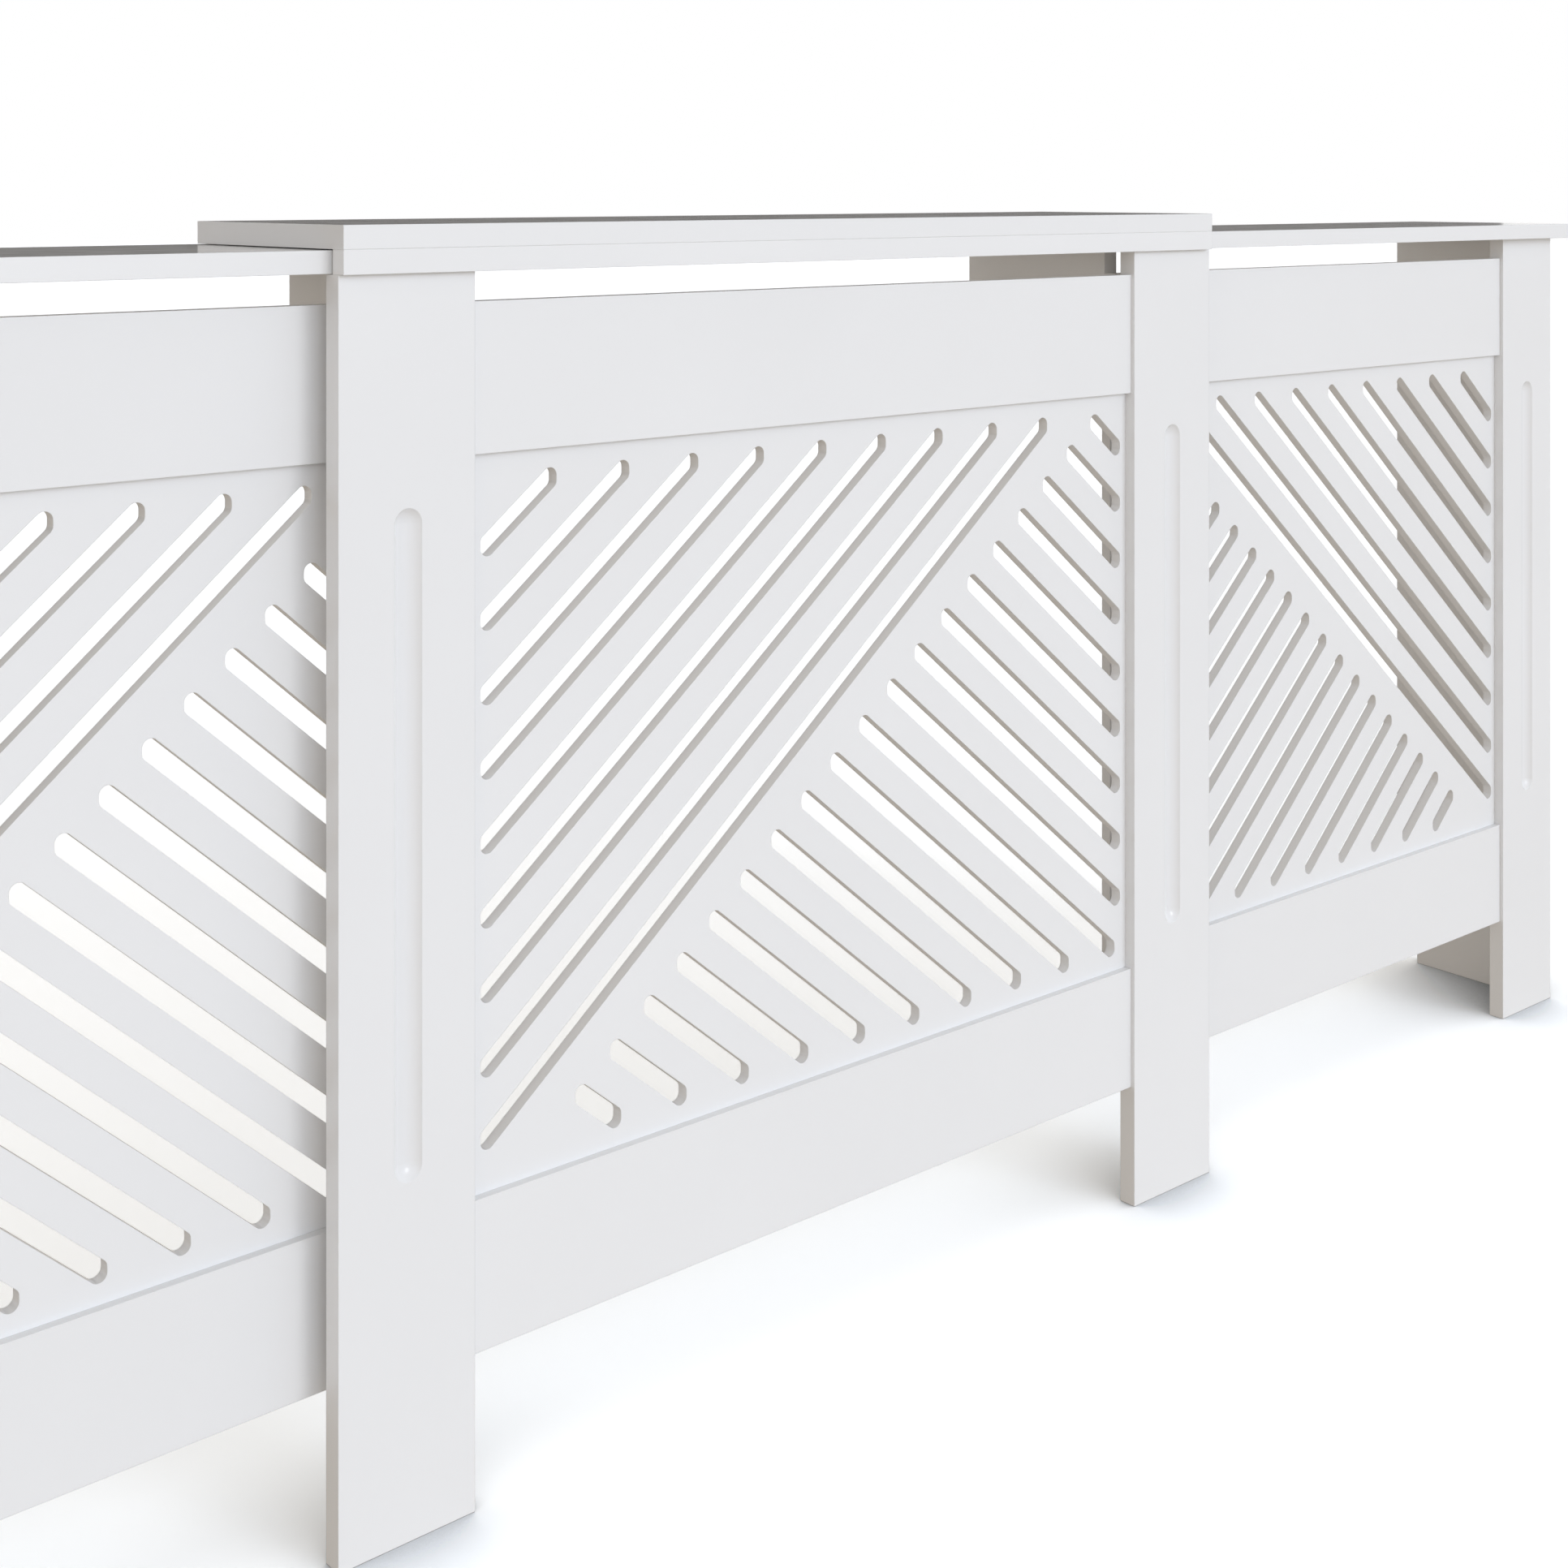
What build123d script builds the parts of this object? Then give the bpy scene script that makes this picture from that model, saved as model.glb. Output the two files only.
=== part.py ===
from build123d import *
import math
import os

# Extending radiator cover: a centre unit that stands in front of the radiator, and
# two side units that slide in behind it to shorten the cover.
# Millimetres. +X runs to the right, +Y towards the wall, +Z up. The origin is on the
# floor, in the middle of the cover's outline when it is fully extended.

# ---- driving sizes: boards -------------------------------------------------------
board_thickness = 15.0  # centre top board
board_depth = 195.1
lip_thickness = 13.0  # strip under the board's front edge
shelf_thickness = 14.4  # side units' top boards
leg_thickness = 15.0
rail_thickness = 12.0
lattice_thickness = 9.0
panel_thickness = 15.0  # outer end panels
bearer_thickness = 15.0  # boards on edge under the side shelves' inner ends

# ---- driving sizes: frames -------------------------------------------------------
leg_height = 790.0  # centre legs, floor to the lip
leg_width = 98.0
side_leg_width = 90.5
opening_width = 643.0  # between the centre legs
side_opening_width = 592.1  # side rails, from their free end to the leg
board_shortfall = 4.0  # the centre board stops this far short of the frame's right end
rail_height = 98.0
foot_gap = 98.0  # floor to the lower rails
top_gap = 19.5  # upper rails to the lip
rail_setback = 3.4  # rails lie this far behind the legs' faces
lattice_setback = 6.0  # lattices lie this far behind the rails' faces
rebate = 10.0  # lattice's seat along each rail
side_depth = 174.5  # side leg's face to the end panel's back edge
shelf_end_overhang = 17.0  # shelf past the side leg's outer face
bearer_height = 98.4

# ---- driving sizes: where the units meet -----------------------------------------
lip_overhang = 6.3  # lip's face in front of the centre legs' faces
lip_clear = 2.3  # lip's back to the side shelves' front edges
shelf_clear_below = 0.4  # side shelf over the centre legs' tops
shelf_clear_above = 0.7  # side shelf under the centre board
slide_gap = 6.3  # centre lattice's back to the side legs' faces
closed_gap = 9.2  # between the two side units when both are pushed right in
slide_travel = 326.0  # each side unit's travel

# ---- driving sizes: routed groove in each leg ------------------------------------
groove_width = 20.0
groove_depth = 5.0
groove_bottom = 224.0
groove_length = 419.5

# ---- driving sizes: slots in the lattices ----------------------------------------
slot_height = 17.4  # measured upright, along a slot's end
slot_corner = 5.4  # radius
shortest_slot = 25.0  # measured along X; a shorter one is left out
column_margin = 10.2  # long slots' ends from the outer edge of the opening
inner_margin = 7.3  # cross slots' ends from its other edge
head_margin = 13.85  # rounded tops below the upper rail
foot_margin = 12.5  # rounded bottoms above the lower rail
long_pitch = 47.98  # upright, between the long slots
long_first = 72.4  # first long slot at the outer edge, below the upper rail
long_rise = 515.1  # a long slot's climb over the whole width
last_lift = 1.38  # the longest slot lies this much closer to its neighbour
cross_pitch = 46.5  # upright, between the cross slots
cross_first = 54.45  # first cross slot at the other edge, below the upper rail
cross_rise = 531.4
chevron_gap = 43.2  # from the longest slot down to the cross slots' ends
side_pattern_shift = -2.8  # side units' slots, away from their outer legs
side_pattern_overrun = 2.7  # side units' slopes are drawn over this much more width

# ---- driving sizes: end panels' notch over a skirting board ----------------------
skirting_depth = 25.3
skirting_height = 100.0

# ---- driving sizes: dowels and tenons --------------------------------------------
dowel_diameter = 6.0
dowel_length = 30.0
dowel_clear = 0.1  # round a dowel
dowel_end_clear = 1.0  # past each of its ends
dowel_cover = 4.0  # wood left over the end of a dowel's hole
dowel_inset = 20.0  # from a board's side or end
tenon_width = 60.0
tenon_height = 8.0
tenon_wall = 1.35  # wood left on each side of a tenon
tenon_clear = 0.1
board_dowels = 5
panel_dowels = 3
bearer_dowels = 2

# ---- driving sizes: screws and wall brackets -------------------------------------
lattice_screw_diameter = 3.0
lattice_screw_head = 6.0
lattice_screw_length = 13.0
lattice_screw_inset = 40.0  # from the lattice's ends
screws_per_rail = 3
panel_screw_diameter = 3.5
panel_screw_head = 7.0
panel_screw_head_height = 2.2
panel_screw_length = 12.0
panel_screw_spacing = 20.0
screw_clear = 0.1
bracket_drop = 90.4  # side shelf's underside to the middle of the bracket
bracket_height = 40.0
bracket_flange = 25.0
bracket_plate = 2.0
bracket_bend = 2.0  # inside radius
wall_hole = 5.0

# ---- levels ----------------------------------------------------------------------
lip_height = shelf_clear_below + shelf_thickness + shelf_clear_above
board_underside = leg_height + lip_height
shelf_underside = leg_height + shelf_clear_below
upper_rail_top = leg_height - top_gap
window_top = upper_rail_top - rail_height
window_bottom = foot_gap + rail_height
bearer_underside = shelf_underside - bearer_height
bracket_level = shelf_underside - bracket_drop

# ---- planes from front to back ---------------------------------------------------
lattice_offset = rail_setback + lattice_setback
side_front_offset = lip_overhang + lattice_offset + lattice_thickness + slide_gap
overall_depth = side_front_offset + side_depth
cover_front = -overall_depth / 2
cover_back = overall_depth / 2
leg_front = cover_front + lip_overhang
lip_back = cover_front + lip_thickness
side_leg_front = cover_front + side_front_offset
side_leg_back = side_leg_front + leg_thickness
side_rail_back = side_leg_front + rail_setback + rail_thickness

# ---- planes from side to side ----------------------------------------------------
frame_width = 2 * leg_width + opening_width
frame_left = -frame_width / 2
frame_right = frame_width / 2
board_right = frame_right - board_shortfall
opening_left = frame_left + leg_width
opening_right = frame_right - leg_width
inner_end = closed_gap / 2 + slide_travel
side_leg_inner = inner_end + side_opening_width
side_leg_outer = side_leg_inner + side_leg_width
panel_inner = side_leg_outer - panel_thickness
shelf_outer = side_leg_outer + shelf_end_overhang


# ---- helpers ---------------------------------------------------------------------
def block(x, y, z):
    """A board between the low and high limits given for each axis."""
    size = [high - low for low, high in (x, y, z)]
    corner = (Align.MIN, Align.MIN, Align.MIN)
    return Pos(x[0], y[0], z[0]) * Box(*size, align=corner)


def bar(start, direction, length, diameter):
    """A round bar from a point, along a direction."""
    plane = Plane(origin=start, z_dir=direction)
    return extrude(plane * Circle(diameter / 2), amount=length)


def grouped(shapes):
    """Like pieces kept as separate solids of one node."""
    return Compound([solid for shape in shapes for solid in shape.solids()])


def cut(body, tools):
    for tool in tools:
        body = body - tool
    return body


def spread(low, high, count):
    """Evenly spaced places, the first and last at the two limits."""
    if count < 2:
        return [(low + high) / 2]
    return [low + (high - low) * step / (count - 1) for step in range(count)]


# ---- dowels ----------------------------------------------------------------------
def dowelled(joint, direction, ahead, behind):
    """A dowel across a joint face and the hole for it. It reaches ahead of the face
    along the direction, and behind it."""
    along = Vector(*direction)
    start = Vector(*joint) - along * behind
    length = ahead + behind
    dowel = bar(start, direction, length, dowel_diameter)
    hole_start = start - along * dowel_end_clear
    hole_length = length + 2 * dowel_end_clear
    hole = bar(hole_start, direction, hole_length, dowel_diameter + 2 * dowel_clear)
    return dowel, hole


def blind_reach(thickness):
    """How far a dowel goes into a board whose far face it must not break."""
    return thickness - dowel_cover - dowel_end_clear


def frame_joints(x_joint, y_joint):
    """Dowels between a leg's edge and both rails' ends, two to a rail."""
    levels = []
    for low in (foot_gap, window_top):
        levels += [low + rail_height * share for share in (0.25, 0.75)]
    half = dowel_length / 2
    return [dowelled((x_joint, y_joint, z), (1, 0, 0), half, half) for z in levels]


# ---- legs ------------------------------------------------------------------------
def groove(x_middle, face):
    """Round-ended cove down the middle of a leg, as a round-nosed cutter leaves it."""
    radius = (groove_width**2 / 4 + groove_depth**2) / (2 * groove_depth)
    y_axis = face + groove_depth - radius
    low = groove_bottom + groove_width / 2
    high = low + groove_length - groove_width
    middle = Pos(x_middle, y_axis, (low + high) / 2)
    cutter = middle * Cylinder(radius, high - low)
    for level in (low, high):
        cutter += Pos(x_middle, y_axis, level) * Sphere(radius)
    return cutter


def leg(x_low, x_high, face, height):
    board = block((x_low, x_high), (face, face + leg_thickness), (0, height))
    return board - groove((x_low + x_high) / 2, face)


# ---- lattices --------------------------------------------------------------------
def slot(x_low, x_high, start, slope, flip):
    """A slanting band with upright ends and rounded corners. Its middle line is at
    the start level where X is 0. flip is 1 or -1 and turns X."""
    half = slot_height / 2
    low = start + slope * x_low
    high = start + slope * x_high
    corners = [
        (flip * x_low, low - half),
        (flip * x_high, high - half),
        (flip * x_high, high + half),
        (flip * x_low, low + half),
    ]
    band = make_face(Polyline(*corners, close=True))
    return fillet(band.vertices(), slot_corner)


def rounded_tip(slope):
    """From a slot's middle line at its end to the rounded tip above or below it."""
    half_angle = (math.pi / 2 - math.atan(slope)) / 2
    lost = slot_corner / math.tan(half_angle) - slot_corner
    return slot_height / 2 - lost


def chevron_slots(width, overrun, flip):
    """Both families of slots, with X measured from the opening's outer edge. The long
    slots climb from a column there; the cross slots fall away from the longest. The
    slopes are drawn over the width and the overrun."""
    drawn_width = width + overrun
    long_slope = long_rise / drawn_width
    cross_slope = cross_rise / drawn_width
    x_column = column_margin * drawn_width / opening_width
    x_inner = width - inner_margin * drawn_width / opening_width
    head = window_top - head_margin
    foot = window_bottom + foot_margin
    bands = []

    starts = []
    start = window_top - long_first
    while start + long_slope * x_column - slot_height / 2 > foot:
        starts.append(start)
        start -= long_pitch
    starts[-1] += last_lift
    for start in starts:
        x_high = (head - rounded_tip(long_slope) - start) / long_slope
        x_high = min(x_high, x_inner)
        if x_high - x_column >= shortest_slot:
            bands.append(slot(x_column, x_high, start, long_slope, flip))

    limit = starts[-1] - chevron_gap
    start = window_top - cross_first + cross_rise
    x_low = width
    while x_low > x_column:
        x_low = (start - limit) / (long_slope + cross_slope)
        x_head = (start + rounded_tip(cross_slope) - head) / cross_slope
        x_foot = (start - rounded_tip(cross_slope) - foot) / cross_slope
        x_low = max(x_low, x_head)
        x_high = min(x_foot, x_inner)
        if x_high - x_low >= shortest_slot:
            bands.append(slot(x_low, x_high, start, -cross_slope, flip))
        start -= cross_pitch
    return bands


def lattice(x_outer, x_far, y_front, shift, overrun):
    """The slotted panel between two rails, seated in both. x_outer is the edge that
    the long slots start from."""
    width = abs(x_far - x_outer)
    flip = 1 if x_far > x_outer else -1
    low = window_bottom - rebate
    high = window_top + rebate
    sheet = Pos(flip * width / 2, (low + high) / 2) * Rectangle(width, high - low)
    for band in chevron_slots(width, overrun, flip):
        sheet = sheet - Pos(flip * shift, 0) * band
    y_back = y_front + lattice_thickness
    drawing = Plane(origin=(x_outer, y_back, 0), x_dir=(1, 0, 0), z_dir=(0, -1, 0))
    return extrude(drawing * sheet, amount=lattice_thickness)


def lattice_screw(x, y_back, z, clear=0.0):
    """Countersunk screw driven from behind, its head flush with the lattice's back.
    With a clearance it is the hole for one."""
    head = lattice_screw_head / 2 + clear
    shank = lattice_screw_diameter / 2 + clear
    tip = lattice_screw_length + clear
    outline = [(0, 0), (head, 0), (shank, head - shank), (shank, tip - shank), (0, tip)]
    drawing = Plane(origin=(x, y_back, z), x_dir=(1, 0, 0), z_dir=(0, 0, -1))
    profile = drawing * make_face(Polyline(*outline, close=True))
    return revolve(profile, Axis((x, y_back, z), (0, 1, 0)))


# ---- a framed front: two rails, the lattice between them and its screws ----------
def rail(x_low, x_high, y_front, low, seat):
    """A rail with a rebate at its back for the lattice, between the seat's levels."""
    y_back = y_front + rail_thickness
    board = block((x_low, x_high), (y_front, y_back), (low, low + rail_height))
    return board - block((x_low, x_high), (y_front + lattice_setback, y_back), seat)


def framed_front(x_outer, x_far, face, shift, overrun):
    """face is the plane of the legs' faces, which the rails lie behind. shift and
    overrun place the lattice's slots."""
    x_low = min(x_outer, x_far)
    x_high = max(x_outer, x_far)
    y_front = face + rail_setback
    y_lattice = face + lattice_offset
    y_back = y_lattice + lattice_thickness
    top_seat = (window_top, window_top + rebate)
    bottom_seat = (window_bottom - rebate, window_bottom)
    screw_columns = spread(x_low + lattice_screw_inset, x_high - lattice_screw_inset, screws_per_rail)
    places = [(x, y_back, sum(seat) / 2) for seat in (bottom_seat, top_seat) for x in screw_columns]
    holes = [lattice_screw(*place, screw_clear) for place in places]
    sheet = lattice(x_outer, x_far, y_lattice, shift, overrun)
    return {
        "top_rail": cut(rail(x_low, x_high, y_front, window_top, top_seat), holes),
        "bottom_rail": cut(rail(x_low, x_high, y_front, foot_gap, bottom_seat), holes),
        "lattice": cut(sheet, holes),
        "lattice_screws": grouped([lattice_screw(*place) for place in places]),
    }


# ---- centre unit -----------------------------------------------------------------
def tenon(x_middle, clear=0.0):
    """Tongue on top of a leg, where the leg stands under the lip. With a clearance it
    is the mortise in the lip."""
    y_low = leg_front + tenon_wall
    y_high = lip_back - tenon_wall
    reach = tenon_width / 2 + clear
    top = leg_height + tenon_height + clear
    across = (x_middle - reach, x_middle + reach)
    return block(across, (y_low - clear, y_high + clear), (leg_height, top))


def centre_unit():
    across = (frame_left, board_right)
    legs = {"leg_left": (frame_left, opening_left), "leg_right": (opening_right, frame_right)}
    parts = framed_front(opening_left, opening_right, leg_front, 0.0, 0.0)
    board_top = board_underside + board_thickness
    board = block(across, (cover_front, cover_front + board_depth), (board_underside, board_top))
    lip = block(across, (cover_front, lip_back), (leg_height, board_underside))

    pairs = []
    y_lip = (cover_front + lip_back) / 2
    into_board = blind_reach(board_thickness)
    into_lip = blind_reach(lip_height)
    for x in spread(opening_left + dowel_length, opening_right - dowel_length, board_dowels):
        pairs.append(dowelled((x, y_lip, board_underside), (0, 0, 1), into_board, into_lip))
    board_holes = [hole for _, hole in pairs]
    parts["board_dowels"] = grouped([dowel for dowel, _ in pairs])

    y_joint = leg_front + (rail_setback + leg_thickness) / 2
    pairs = frame_joints(opening_left, y_joint) + frame_joints(opening_right, y_joint)
    frame_holes = [hole for _, hole in pairs]
    parts["frame_dowels"] = grouped([dowel for dowel, _ in pairs])
    for name in ("top_rail", "bottom_rail"):
        parts[name] = cut(parts[name], frame_holes)

    for name, (x_low, x_high) in legs.items():
        x_middle = (x_low + x_high) / 2
        post = leg(x_low, x_high, leg_front, leg_height) + tenon(x_middle)
        parts[name] = cut(post, frame_holes)
        lip = lip - tenon(x_middle, tenon_clear)
    parts["top_board"] = cut(board, board_holes)
    parts["front_lip"] = cut(lip, board_holes)
    return parts


# ---- side units, drawn as the right one ------------------------------------------
def bearer():
    """Board on edge under the shelf's inner end, behind the upper rail."""
    across = (inner_end, inner_end + bearer_thickness)
    return block(across, (side_rail_back, cover_back), (bearer_underside, shelf_underside))


def end_panel():
    across = (panel_inner, side_leg_outer)
    panel = block(across, (side_leg_back, cover_back), (0, shelf_underside))
    return panel - block(across, (cover_back - skirting_depth, cover_back), (0, skirting_height))


def bracket_screw(z, clear=0.0):
    """Pan-head screw from the bracket into the end panel. With a clearance it is the
    hole for its shank."""
    y = cover_back - (bracket_flange + bracket_plate) / 2
    under_head = panel_inner - bracket_plate
    diameter = panel_screw_diameter + 2 * clear
    shank = bar((under_head, y, z), (1, 0, 0), panel_screw_length + clear, diameter)
    if clear:
        return shank
    head = bar((under_head, y, z), (-1, 0, 0), panel_screw_head_height, panel_screw_head)
    rim = head.edges().filter_by(GeomType.CIRCLE).sort_by(Axis.X)[0]
    return shank + chamfer(rim, panel_screw_head_height / 2)


def wall_bracket(screw_holes):
    """Bent plate in the corner between the end panel and the wall."""
    x_bend = panel_inner - bracket_plate
    x_tip = panel_inner - bracket_flange
    y_bend = cover_back - bracket_plate
    y_tip = cover_back - bracket_flange
    outline = Polyline(
        (panel_inner, cover_back),
        (x_tip, cover_back),
        (x_tip, y_bend),
        (x_bend, y_bend),
        (x_bend, y_tip),
        (panel_inner, y_tip),
        close=True,
    )
    section = make_face(outline)
    inside = section.vertices().sort_by_distance((x_bend, y_bend, 0))[0]
    section = fillet(inside, bracket_bend)
    outside = section.vertices().sort_by_distance((panel_inner, cover_back, 0))[0]
    section = fillet(outside, bracket_bend + bracket_plate)
    low = Pos(0, 0, bracket_level - bracket_height / 2)
    plate = extrude(low * section, amount=bracket_height)
    x_hole = panel_inner - (bracket_flange + bracket_plate) / 2
    through = bar((x_hole, y_tip, bracket_level), (0, 1, 0), bracket_flange, wall_hole)
    return cut(plate, [through] + screw_holes)


def side_unit():
    pattern = (side_pattern_shift, side_pattern_overrun)
    parts = framed_front(side_leg_inner, inner_end, side_leg_front, *pattern)
    shelf_front = lip_back + lip_clear
    shelf_top = shelf_underside + shelf_thickness
    shelf = block((inner_end, shelf_outer), (shelf_front, cover_back), (shelf_underside, shelf_top))
    post = leg(side_leg_inner, side_leg_outer, side_leg_front, shelf_underside)
    panel = end_panel()
    support = bearer()

    x_support = inner_end + bearer_thickness / 2
    y_leg = (side_leg_front + side_leg_back) / 2
    y_board = spread(side_leg_back + dowel_inset, cover_back - dowel_inset, 2)
    x_leg = (side_leg_inner + dowel_inset, side_leg_outer - dowel_inset)
    joints = [(x, y_leg) for x in x_leg]
    joints += [(x, y) for x in (x_support, side_leg_outer - panel_thickness / 2) for y in y_board]
    into_shelf = blind_reach(shelf_thickness)
    below = dowel_length - into_shelf
    pairs = [dowelled((x, y, shelf_underside), (0, 0, 1), into_shelf, below) for x, y in joints]
    shelf_holes = [hole for _, hole in pairs]
    parts["shelf_dowels"] = grouped([dowel for dowel, _ in pairs])

    pairs = frame_joints(side_leg_inner, side_leg_front + (rail_setback + leg_thickness) / 2)
    into_rail = blind_reach(rail_thickness)
    for z in spread(bearer_underside + dowel_inset, upper_rail_top - dowel_inset, bearer_dowels):
        joint = (x_support, side_rail_back, z)
        pairs.append(dowelled(joint, (0, 1, 0), dowel_length - into_rail, into_rail))
    frame_holes = [hole for _, hole in pairs]
    parts["frame_dowels"] = grouped([dowel for dowel, _ in pairs])
    for name in ("top_rail", "bottom_rail"):
        parts[name] = cut(parts[name], frame_holes)

    into_leg = blind_reach(leg_thickness)
    x_panel = side_leg_outer - panel_thickness / 2
    pairs = []
    for z in spread(foot_gap + rail_height / 2, upper_rail_top - rail_height / 2, panel_dowels):
        joint = (x_panel, side_leg_back, z)
        pairs.append(dowelled(joint, (0, 1, 0), dowel_length - into_leg, into_leg))
    panel_holes = [hole for _, hole in pairs]
    parts["panel_dowels"] = grouped([dowel for dowel, _ in pairs])

    levels = [bracket_level - panel_screw_spacing / 2, bracket_level + panel_screw_spacing / 2]
    screw_holes = [bracket_screw(z, screw_clear) for z in levels]
    parts["wall_bracket"] = wall_bracket(screw_holes)
    parts["bracket_screws"] = grouped([bracket_screw(z) for z in levels])

    parts["shelf"] = cut(shelf, shelf_holes)
    parts["leg"] = cut(post, shelf_holes + frame_holes + panel_holes)
    parts["outer_panel"] = cut(panel, shelf_holes + panel_holes + screw_holes)
    parts["inner_bearer"] = cut(support, shelf_holes + frame_holes)
    return parts


# ---- the whole cover -------------------------------------------------------------
pieces = {f"centre_{name}": part for name, part in centre_unit().items()}
for name, part in side_unit().items():
    pieces[f"left_{name}"] = mirror(part, about=Plane.YZ)
    pieces[f"right_{name}"] = part

os.makedirs("parts", exist_ok=True)
for name, part in pieces.items():
    export_step(part, f"parts/{name}.step")
print(len(pieces), "nodes,", sum(len(part.solids()) for part in pieces.values()), "solids")
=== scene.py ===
import math

import bpy
from mathutils import Euler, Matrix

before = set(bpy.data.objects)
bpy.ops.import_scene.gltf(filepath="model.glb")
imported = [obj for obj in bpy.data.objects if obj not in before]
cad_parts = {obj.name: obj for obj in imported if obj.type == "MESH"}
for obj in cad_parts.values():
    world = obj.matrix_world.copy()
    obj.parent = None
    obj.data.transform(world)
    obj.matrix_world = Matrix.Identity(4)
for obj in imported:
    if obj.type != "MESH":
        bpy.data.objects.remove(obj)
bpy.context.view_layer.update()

# ---- camera: a level view from the front left, with the lens shifted down ---------
CAMERA_PLACE = (-1.092865, -1.29003, 0.844168)
CAMERA_TURN = -40.831  # degrees about Z, from looking along +Y
CAMERA_REACH = (0.05, 100.0)  # the nearest and the farthest that it sees
SENSOR_WIDTH = 36.0
FOCAL_LENGTH = 50.742
LENS_SHIFT_DOWN = 0.38145  # as a share of the picture's width

# ---- light ------------------------------------------------------------------------
BACKGROUND = (1.0, 1.0, 1.0)
# The light round the object, low down: a strength and a tint for each side, turning
# right from straight ahead. The fronts get an even, neutral light; the ends and the
# pieces' left faces get less, and warmer.
NEUTRAL = (1.0, 1.0, 1.0)
COOL = (0.87, 1.0, 1.18)
MILD = (1.06, 1.0, 0.93)
WARM = (1.1, 1.0, 0.85)
AROUND = (
    (2.0, COOL),  # front
    (1.3, COOL),  # front right
    (1.9, WARM),  # right
    (0.8, WARM),  # back right
    (1.1, NEUTRAL),  # back
    (0.3, WARM),  # back left
    (0.48, NEUTRAL),  # left
    (1.53, MILD),  # front left
)
AROUND_TOP = (0.35, 0.65)  # height of a direction, where the low light gives way
OVERHEAD = (0.48, 0.445, 0.41)
OVERHEAD_FRONT = 0.36  # how much brighter overhead is towards the front, as a share
OVERHEAD_RIGHT = -0.2  # the same towards the right, where it is darker
LIGHT_UNIT = 2.2  # the world's colours are written as shares of this
KEY_COLOR = (0.98, 1.0, 1.03)
KEY_STRENGTH = 0.56
KEY_TURN = 15.0  # degrees to the right of straight ahead
KEY_HEIGHT = 12.0  # degrees above the horizon
KEY_SOFTNESS = 24.0  # degrees across
LEVEL = 90.0  # degrees that a lamp or a camera turns from looking down to looking level

# ---- noise: a scale is about how many waves lie in a metre ------------------------
NOISE_WIDE = (0.3, 0.7)  # nearly all of a noise's values lie between these
NOISE_NARROW = (0.35, 0.65)  # closer limits, for a harder contrast
SEED_STEP = (1.37, 0.61, 0.83)  # metres from one piece's noise to the next piece's

# ---- paint ------------------------------------------------------------------------
PAINT = (0.82, 0.825, 0.835)
PAINT_ROUGH = (0.12, 0.15)
PAINT_IOR = 1.5
DRIFT_SCALE = 5.0
DRIFT_SHARE = 0.01  # how far the tone drifts either way
SHEEN_SCALE = 38.0
PEEL_SCALE = 900.0
PEEL_HEIGHT = 0.0002
PEEL_STRENGTH = 0.06
ARRIS_RADIUS = 0.0007
ARRIS_SAMPLES = 4
EDGE_TONE = 0.985
EDGE_ROUGHER = 0.12
EDGE_FACING = (0.5, 0.9)  # how squarely cut edges and faces look along the board's axis

# ---- beech ------------------------------------------------------------------------
BEECH_DARK = (0.50, 0.33, 0.17)
BEECH_LIGHT = (0.70, 0.52, 0.32)
BEECH_ROUGH = 0.62
PORE_SCALE = 90.0
PORE_STRETCH = 14.0  # how many times longer than wide
PORE_HEIGHT = 0.0002
PORE_STRENGTH = 0.3

# ---- zinc plate -------------------------------------------------------------------
ZINC_DARK = (0.62, 0.64, 0.66)
ZINC_LIGHT = (0.74, 0.75, 0.76)
ZINC_ROUGH = (0.36, 0.5)
CLOUD_SCALE = 60.0
LINE_SCALE = 160.0
LINE_STRETCH = 30.0  # how many times longer than wide
LINE_HEIGHT = 0.0001
LINE_STRENGTH = 0.12

# ---- floor ------------------------------------------------------------------------
FLOOR_REACH = 30.0
FLOOR_LEVEL = -0.0002
FLOOR_PLAIN = (0.70, 0.64, 0.56)  # what the floor throws back at the object
FLOOR_SEEN = (1.66, 1.745, 1.84)  # how bright the light on the floor shows in the picture
# painted contact shadow: an occlusion test near the feet darkens the floor's colour as the
# camera sees it
CONTACT_REACH = 0.17
CONTACT_SAMPLES = 12
CONTACT_SPAN = (0.22, 0.92)  # shares of open sky from the darkest floor to the plain one
CONTACT_DARK = 0.05
CONTACT_LEAN = (0.80, -0.30, 0.60)  # towards the light that the feet shade

# ---- flag: a dark strip far behind, seen only by mirrored rays: a painted reflection, which the tops mirror at a flat angle ---
PAINTED_REFLECTION_TONE = (0.03, 0.028, 0.025)
FLAG_BACK = 3.0
FLAG_REACH = 6.0
FLAG_BOTTOM = 0.7
FLAG_TOP = 1.9

BLACK = (0.0, 0.0, 0.0)


# ---- shader nodes -----------------------------------------------------------------
def node(tree, kind, links=None, **settings):
    """Adds a shader node. links gives its inputs, as sockets or plain values."""
    made = tree.nodes.new(kind)
    for name, value in settings.items():
        setattr(made, name, value)
    for name, value in (links or {}).items():
        socket = made.inputs[name]
        if isinstance(value, bpy.types.NodeSocket):
            tree.links.new(value, socket)
        else:
            socket.default_value = value
    return made


def calculate(tree, operation, *values):
    links = dict(enumerate(values))
    return node(tree, "ShaderNodeMath", links, operation=operation).outputs[0]


def spread(tree, value, low, high, to_low, to_high):
    """Stretches the values from low to high over those from to_low to to_high."""
    ends = {"From Min": low, "From Max": high, "To Min": to_low, "To Max": to_high}
    return node(tree, "ShaderNodeMapRange", {"Value": value, **ends}).outputs["Result"]


def noise(tree, place, scale, detail=2.0, roughness=0.5):
    links = {"Vector": place, "Scale": scale, "Detail": detail, "Roughness": roughness}
    return node(tree, "ShaderNodeTexNoise", links).outputs["Fac"]


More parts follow.
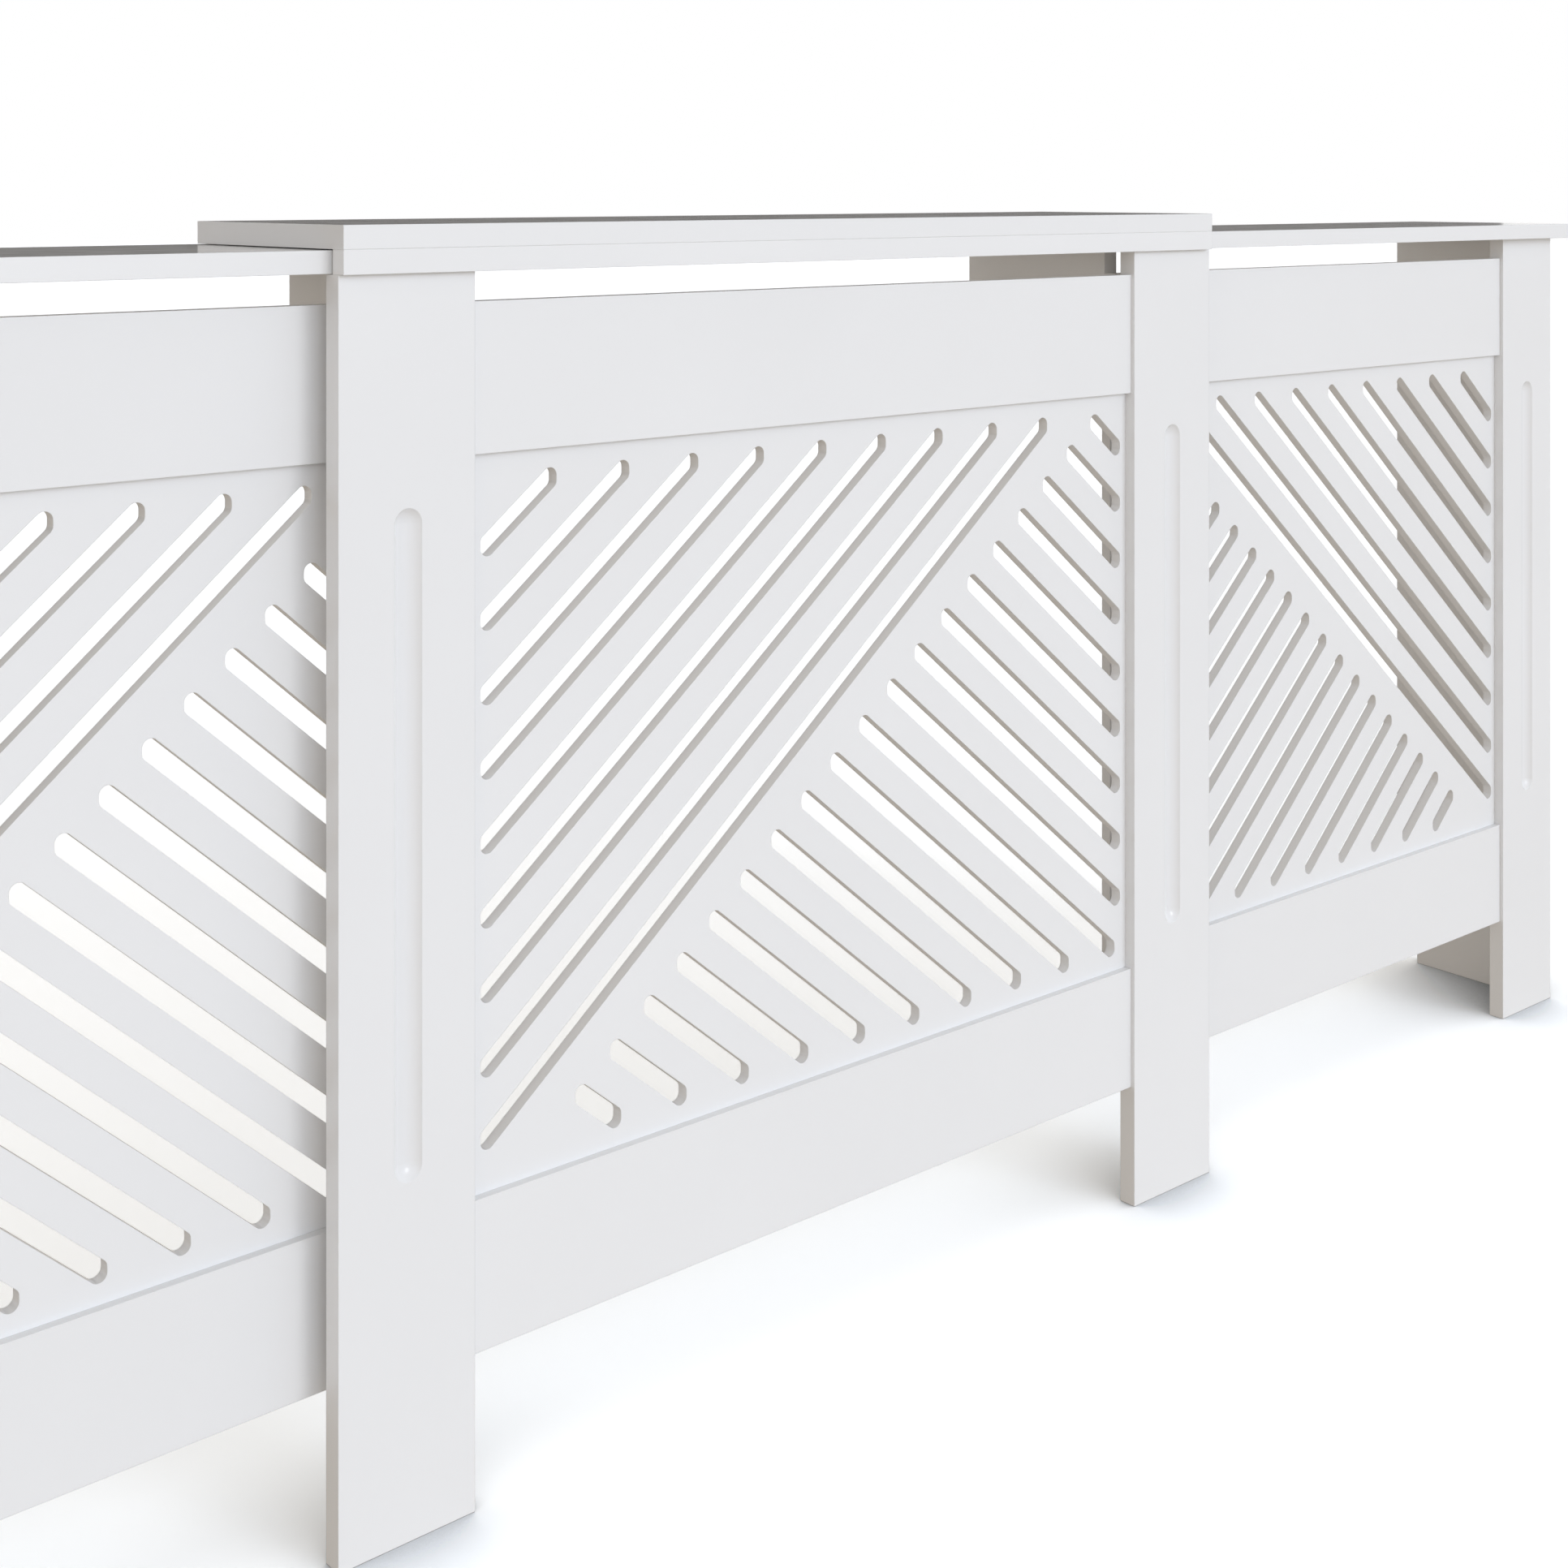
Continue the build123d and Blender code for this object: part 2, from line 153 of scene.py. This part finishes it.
def stretched(tree, place, scale):
    links = {"Vector": place, "Scale": scale}
    return node(tree, "ShaderNodeMapping", links).outputs["Vector"]


def bump(tree, height, distance, strength, **others):
    """The shading normal over a fine relief."""
    links = {"Strength": strength, "Distance": distance, "Height": height, **others}
    return node(tree, "ShaderNodeBump", links).outputs["Normal"]


def blend_colors(tree, share, first, second):
    made = node(tree, "ShaderNodeMix", data_type="RGBA", clamp_factor=False)
    tree.links.new(share, made.inputs["Factor"])
    for name, value in (("A", first), ("B", second)):
        socket = [s for s in made.inputs if s.name == name and s.type == "RGBA"][0]
        if isinstance(value, bpy.types.NodeSocket):
            tree.links.new(value, socket)
        else:
            socket.default_value = (*value, 1.0)
    return [s for s in made.outputs if s.type == "RGBA"][0]


def scaled(color, factor):
    return tuple(part * factor for part in color)


# ---- materials --------------------------------------------------------------------
def blank_material(name):
    made = bpy.data.materials.new(name)
    made.use_nodes = True
    made.node_tree.nodes.clear()
    return made, made.node_tree


def finish_surface(tree, links):
    shader = node(tree, "ShaderNodeBsdfPrincipled", links)
    node(tree, "ShaderNodeOutputMaterial", {"Surface": shader.outputs["BSDF"]})


def object_place(tree, seed):
    """Each point's place on its object, shifted by the seed so that pieces differ."""
    place = node(tree, "ShaderNodeTexCoord").outputs["Object"]
    links = {"Vector": place, "Location": scaled(SEED_STEP, seed)}
    return node(tree, "ShaderNodeMapping", links).outputs["Vector"]


def painted(name, seed, axis):
    """Satin white paint, sprayed on fibreboard: a fine orange peel, a faint drift of tone
    and sheen, softened arrises, and a duller, slightly darker film on the cut edges, which
    drink more paint. The board's two faces look along the axis."""
    made, tree = blank_material(name)
    place = object_place(tree, seed)
    normal = node(tree, "ShaderNodeTexCoord").outputs["Normal"]
    split = node(tree, "ShaderNodeSeparateXYZ", {0: normal})
    facing = calculate(tree, "ABSOLUTE", split.outputs[axis])
    edge = spread(tree, facing, *EDGE_FACING, 1.0, 0.0)
    drift = spread(tree, noise(tree, place, DRIFT_SCALE, detail=3.0), *NOISE_WIDE, 0.0, 1.0)
    darker = scaled(PAINT, 1 - DRIFT_SHARE)
    lighter = scaled(PAINT, 1 + DRIFT_SHARE)
    color = blend_colors(tree, drift, darker, lighter)
    color = blend_colors(tree, edge, color, scaled(PAINT, EDGE_TONE))
    rough = spread(tree, noise(tree, place, SHEEN_SCALE), *NOISE_WIDE, *PAINT_ROUGH)
    rough = calculate(tree, "MULTIPLY_ADD", edge, EDGE_ROUGHER, rough)
    peel = noise(tree, place, PEEL_SCALE, detail=1.0)
    soft = node(tree, "ShaderNodeBevel", {"Radius": ARRIS_RADIUS}, samples=ARRIS_SAMPLES)
    relief = bump(tree, peel, PEEL_HEIGHT, PEEL_STRENGTH, Normal=soft.outputs["Normal"])
    links = {"Base Color": color, "Roughness": rough, "Normal": relief, "IOR": PAINT_IOR}
    finish_surface(tree, links)
    return made


def bare_beech(name, seed, axis):
    """Turned beech: long pores and rays along the dowel's axis."""
    made, tree = blank_material(name)
    stretch = [PORE_STRETCH, PORE_STRETCH, PORE_STRETCH]
    stretch[axis] = 1.0
    grain = stretched(tree, object_place(tree, seed), stretch)
    pores = noise(tree, grain, PORE_SCALE, detail=4.0, roughness=0.6)
    share = spread(tree, pores, *NOISE_NARROW, 0.0, 1.0)
    color = blend_colors(tree, share, BEECH_DARK, BEECH_LIGHT)
    relief = bump(tree, pores, PORE_HEIGHT, PORE_STRENGTH)
    finish_surface(tree, {"Base Color": color, "Roughness": BEECH_ROUGH, "Normal": relief})
    return made


def zinc_plate(name, seed):
    """Bright zinc on steel: fine rolling lines under a faintly clouded film."""
    made, tree = blank_material(name)
    place = object_place(tree, seed)
    lines = stretched(tree, place, (1.0, 1.0, LINE_STRETCH))
    brushed = noise(tree, lines, LINE_SCALE, detail=3.0, roughness=0.6)
    clouds = noise(tree, place, CLOUD_SCALE, detail=3.0, roughness=0.6)
    share = spread(tree, clouds, *NOISE_NARROW, 0.0, 1.0)
    color = blend_colors(tree, share, ZINC_DARK, ZINC_LIGHT)
    rough = spread(tree, clouds, *NOISE_WIDE, *ZINC_ROUGH)
    relief = bump(tree, brushed, LINE_HEIGHT, LINE_STRENGTH)
    links = {"Base Color": color, "Metallic": 1.0, "Roughness": rough, "Normal": relief}
    finish_surface(tree, links)
    return made


# ---- dressing the pieces ----------------------------------------------------------
def board_axis(name):
    """The way that a board's two faces look."""
    if name.endswith(("shelf", "top_board")):
        return 2
    return 0 if name.endswith(("outer_panel", "inner_bearer")) else 1


def dowel_axis(name):
    """The way that most of a group's dowels run."""
    if name.endswith("frame_dowels"):
        return 0
    return 1 if name.endswith("panel_dowels") else 2


def dress(cad_object, finish):
    if not cad_object.material_slots:
        cad_object.data.materials.append(finish)
    for held in cad_object.material_slots:
        held.material = finish


for count, name in enumerate(sorted(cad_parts)):
    if name.endswith("dowels"):
        finish = bare_beech("beech_" + name, count, dowel_axis(name))
    elif name.endswith(("screws", "bracket")):
        finish = zinc_plate("zinc_" + name, count)
    else:
        finish = painted("paint_" + name, count, board_axis(name))
    dress(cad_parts[name], finish)


# ---- stage ------------------------------------------------------------------------
def plane_object(name, corners, finish):
    mesh = bpy.data.meshes.new(name)
    mesh.from_pydata(corners, [], [tuple(range(len(corners)))])
    mesh.materials.append(finish)
    made = bpy.data.objects.new(name, mesh)
    bpy.context.scene.collection.objects.link(made)
    return made


def floor_surface():
    """Plain for the light that it throws back. The camera sees it near white instead,
    with a painted contact shadow that falls away from the light: partly real shading, and
    partly colour darkened where an occlusion test finds parts near."""
    made, tree = blank_material("stage_floor")
    plain = node(tree, "ShaderNodeBsdfDiffuse", {"Color": (*FLOOR_PLAIN, 1.0)})
    links = {"Distance": CONTACT_REACH, "Normal": CONTACT_LEAN}
    # painted shadow: the occlusion near the feet darkens the colour that the camera sees
    near = node(tree, "ShaderNodeAmbientOcclusion", links, samples=CONTACT_SAMPLES)
    share = spread(tree, near.outputs["AO"], *CONTACT_SPAN, CONTACT_DARK, 1.0)
    tone = blend_colors(tree, share, BLACK, FLOOR_SEEN)
    seen = node(tree, "ShaderNodeBsdfDiffuse", {"Color": tone})
    path = node(tree, "ShaderNodeLightPath")
    links = {0: path.outputs["Is Camera Ray"], 1: plain.outputs[0], 2: seen.outputs[0]}
    mixed = node(tree, "ShaderNodeMixShader", links)
    node(tree, "ShaderNodeOutputMaterial", {"Surface": mixed.outputs[0]})
    return made


def painted_reflection_surface():
    # painted reflection: a faint dark glow, no lamp, that the tops mirror at a flat angle
    made, tree = blank_material("stage_flag")
    links = {"Color": (*PAINTED_REFLECTION_TONE, 1.0), "Strength": 1.0}
    glow = node(tree, "ShaderNodeEmission", links)
    node(tree, "ShaderNodeOutputMaterial", {"Surface": glow.outputs[0]})
    return made


signs = ((-1, -1), (1, -1), (1, 1), (-1, 1))
corners = [(x * FLOOR_REACH, y * FLOOR_REACH, FLOOR_LEVEL) for x, y in signs]
plane_object("stage_floor", corners, floor_surface())

ends = ((-1, FLAG_BOTTOM), (1, FLAG_BOTTOM), (1, FLAG_TOP), (-1, FLAG_TOP))
corners = [(x * FLAG_REACH, FLAG_BACK, height) for x, height in ends]
flag = plane_object("stage_flag", corners, painted_reflection_surface())
# hidden from the camera, from the light it would block and from shadows: only mirrored rays
# see it, as a painted reflection on the tops
flag.visible_camera = False
flag.visible_diffuse = False
flag.visible_shadow = False
flag.visible_transmission = False


# ---- world ------------------------------------------------------------------------
def light_around(tree, axes):
    """The low light all round, turning right from straight ahead."""
    backwards = calculate(tree, "MULTIPLY", axes.outputs["Y"], -1.0)
    turn = calculate(tree, "ARCTAN2", axes.outputs["X"], backwards)
    turn = calculate(tree, "WRAP", turn, math.tau, 0.0)
    share = calculate(tree, "DIVIDE", turn, math.tau)
    ring = node(tree, "ShaderNodeValToRGB", {"Fac": share})
    stops = ring.color_ramp.elements
    while len(stops) < len(AROUND) + 1:
        stops.new(0.5)
    for count, stop in enumerate(stops):
        stop.position = count / len(AROUND)
        strength, tint = AROUND[count % len(AROUND)]
        stop.color = (*scaled(tint, strength / LIGHT_UNIT), 1.0)
    return ring.outputs["Color"]


def light_above(tree, direction):
    """The light overhead, brighter towards the front left."""
    links = {0: direction, 1: (OVERHEAD_RIGHT, -OVERHEAD_FRONT, 0.0)}
    lean = node(tree, "ShaderNodeVectorMath", links, operation="DOT_PRODUCT")
    lift = calculate(tree, "ADD", lean.outputs["Value"], 1.0)
    return blend_colors(tree, lift, BLACK, scaled(OVERHEAD, 1 / LIGHT_UNIT))


def studio_world():
    """Soft light from all sides. The camera, and rays that mirrors and clear things send
    on, see a white background in its place."""
    made = bpy.data.worlds.new("studio")
    made.use_nodes = True
    tree = made.node_tree
    tree.nodes.clear()
    direction = node(tree, "ShaderNodeTexCoord").outputs["Generated"]
    axes = node(tree, "ShaderNodeSeparateXYZ", {0: direction})
    height = spread(tree, axes.outputs["Z"], *AROUND_TOP, 0.0, 1.0)
    light = blend_colors(tree, height, light_around(tree, axes), light_above(tree, direction))
    around = node(tree, "ShaderNodeBackground", {"Color": light, "Strength": LIGHT_UNIT})
    links = {"Color": (*BACKGROUND, 1.0), "Strength": 1.0}
    white = node(tree, "ShaderNodeBackground", links)
    path = node(tree, "ShaderNodeLightPath").outputs
    seen = calculate(tree, "MAXIMUM", path["Is Camera Ray"], path["Is Glossy Ray"])
    seen = calculate(tree, "MAXIMUM", seen, path["Is Transmission Ray"])
    links = {0: seen, 1: around.outputs[0], 2: white.outputs[0]}
    mixed = node(tree, "ShaderNodeMixShader", links)
    node(tree, "ShaderNodeOutputWorld", {"Surface": mixed.outputs[0]})
    return made


scene = bpy.context.scene
scene.world = studio_world()

# ---- key light --------------------------------------------------------------------
key_data = bpy.data.lights.new("key", "SUN")
key_data.energy = KEY_STRENGTH
key_data.color = KEY_COLOR
key_data.angle = math.radians(KEY_SOFTNESS)
key = bpy.data.objects.new("key", key_data)
key.rotation_euler = Euler((math.radians(LEVEL - KEY_HEIGHT), 0.0, math.radians(KEY_TURN)))
scene.collection.objects.link(key)

# ---- camera -----------------------------------------------------------------------
camera_data = bpy.data.cameras.new("camera")
camera_data.sensor_width = SENSOR_WIDTH
camera_data.lens = FOCAL_LENGTH
camera_data.shift_y = -LENS_SHIFT_DOWN
camera_data.clip_start, camera_data.clip_end = CAMERA_REACH
camera = bpy.data.objects.new("camera", camera_data)
camera.location = CAMERA_PLACE
camera.rotation_euler = Euler((math.radians(LEVEL), 0.0, math.radians(CAMERA_TURN)))
scene.collection.objects.link(camera)
scene.camera = camera

scene.view_settings.view_transform = "Standard"
